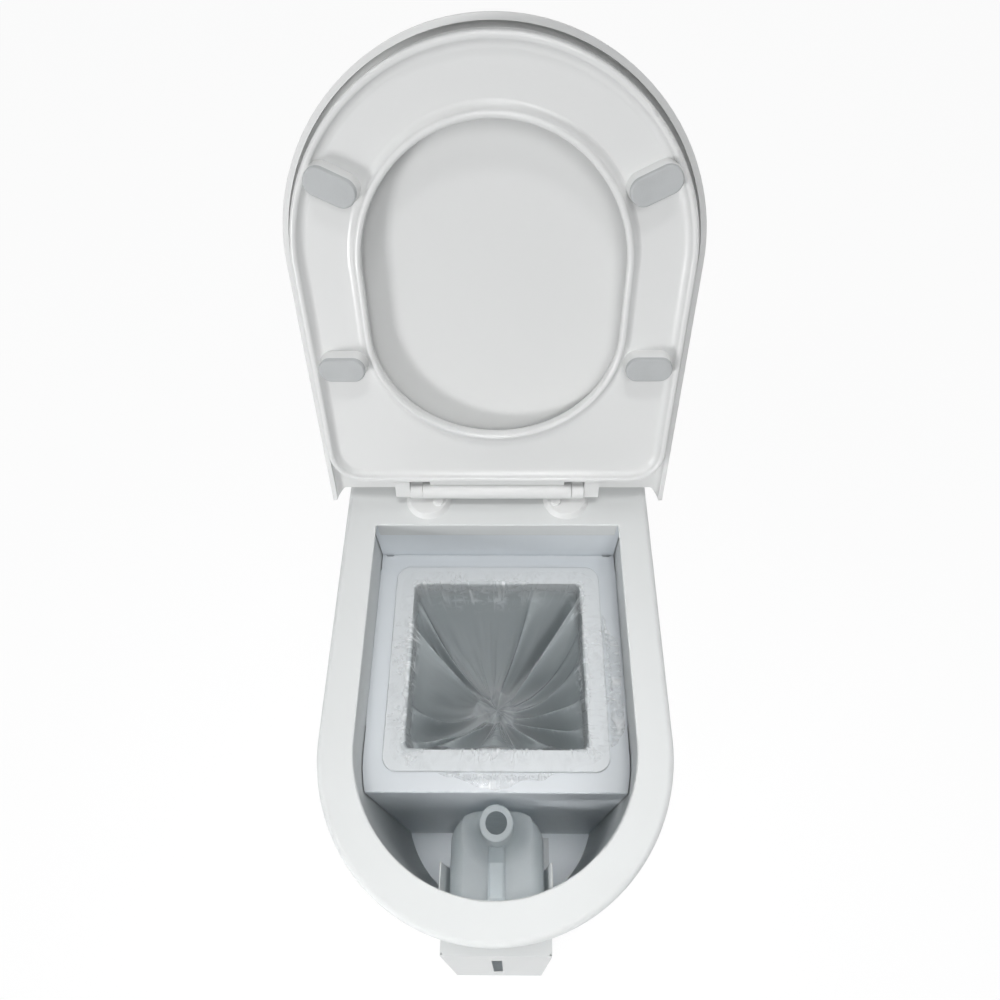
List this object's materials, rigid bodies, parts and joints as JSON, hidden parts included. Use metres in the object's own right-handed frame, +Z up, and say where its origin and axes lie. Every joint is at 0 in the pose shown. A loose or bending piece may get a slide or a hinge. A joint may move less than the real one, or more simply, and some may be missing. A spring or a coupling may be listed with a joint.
{
  "type": "urine-diverting toilet",
  "caption": "Free-standing dry toilet: a hinged seat and lid on a D-shaped sheet-metal housing, a lined solids bucket on an inner shelf and a front drawer whose canister collects urine.",
  "frame": {"origin": "on the floor, straight below the centre of the rim's round front", "axes": "+X to the right of someone who stands in front and looks at the toilet, +Y to its rear (the hinge), +Z up; the front and the drawer face -Y"},
  "size_m": [0.376, 0.6577, 0.9287],
  "materials": {
    "outer_paint": "white powder coat, satin",
    "inner_paint": "pale grey-white powder coat, semi-gloss",
    "seat_plastic": "white moulded plastic, satin to gloss",
    "hinge_plastic": "white moulded plastic",
    "bumper_rubber": "light grey, soft",
    "bucket_plastic": "pale moulded plastic",
    "bag_film": "clear crinkled film",
    "canister_plastic": "natural translucent plastic",
    "steel": "zinc-plated"
  },
  "bodies": {
    "base": {"base_plate": "inner_paint", "housing_shell": "outer_paint", "rear_panel": "outer_paint", "rear_panel_screws": "steel", "compartment_back": "inner_paint", "rim_deck": "outer_paint", "shelf_and_partition": "inner_paint", "shelf_bracket_left": "inner_paint", "shelf_bracket_right": "inner_paint", "drawer_guide_left": "inner_paint", "drawer_guide_right": "inner_paint", "hinge_rosette_left": "hinge_plastic", "hinge_rosette_right": "hinge_plastic", "hinge_post_left": "hinge_plastic", "hinge_post_right": "hinge_plastic", "hinge_pin_left": "steel", "hinge_pin_right": "steel", "hinge_studs": "steel", "hinge_washers": "steel", "hinge_wing_nuts": "hinge_plastic"},
    "seat": {"seat_ring": "seat_plastic", "seat_barrel": "hinge_plastic", "seat_bumper_front_left": "bumper_rubber", "seat_bumper_front_right": "bumper_rubber", "seat_bumper_rear_left": "bumper_rubber", "seat_bumper_rear_right": "bumper_rubber"},
    "lid": {"lid_shell": "seat_plastic"},
    "bucket": {"solids_bucket": "bucket_plastic", "liner_bag": "bag_film"},
    "drawer": {"drawer_box": "outer_paint", "drawer_floor": "inner_paint", "urine_canister": "canister_plastic"}
  },
  "joints": [
    {"name": "seat_hinge", "type": "hinge", "parent": "base", "child": "seat", "pos_m": [0, 0.263, 0.52], "axis": [1, 0, 0], "range_deg": [0, 110.8]},
    {"name": "lid_hinge", "type": "hinge", "parent": "base", "child": "lid", "pos_m": [0, 0.263, 0.52], "axis": [1, 0, 0], "range_deg": [0, 110.8]},
    {"name": "bucket_lift", "type": "slide", "parent": "base", "child": "bucket", "axis": [0, 0, 1], "range_m": [0, 0.07]},
    {"name": "drawer_slide", "type": "slide", "parent": "base", "child": "drawer", "axis": [0, -1, 0], "range_m": [0, 0.15]}
  ],
  "couplings": [
    {"joint": "lid_hinge", "follows": "seat_hinge", "ratio": 1}
  ]
}
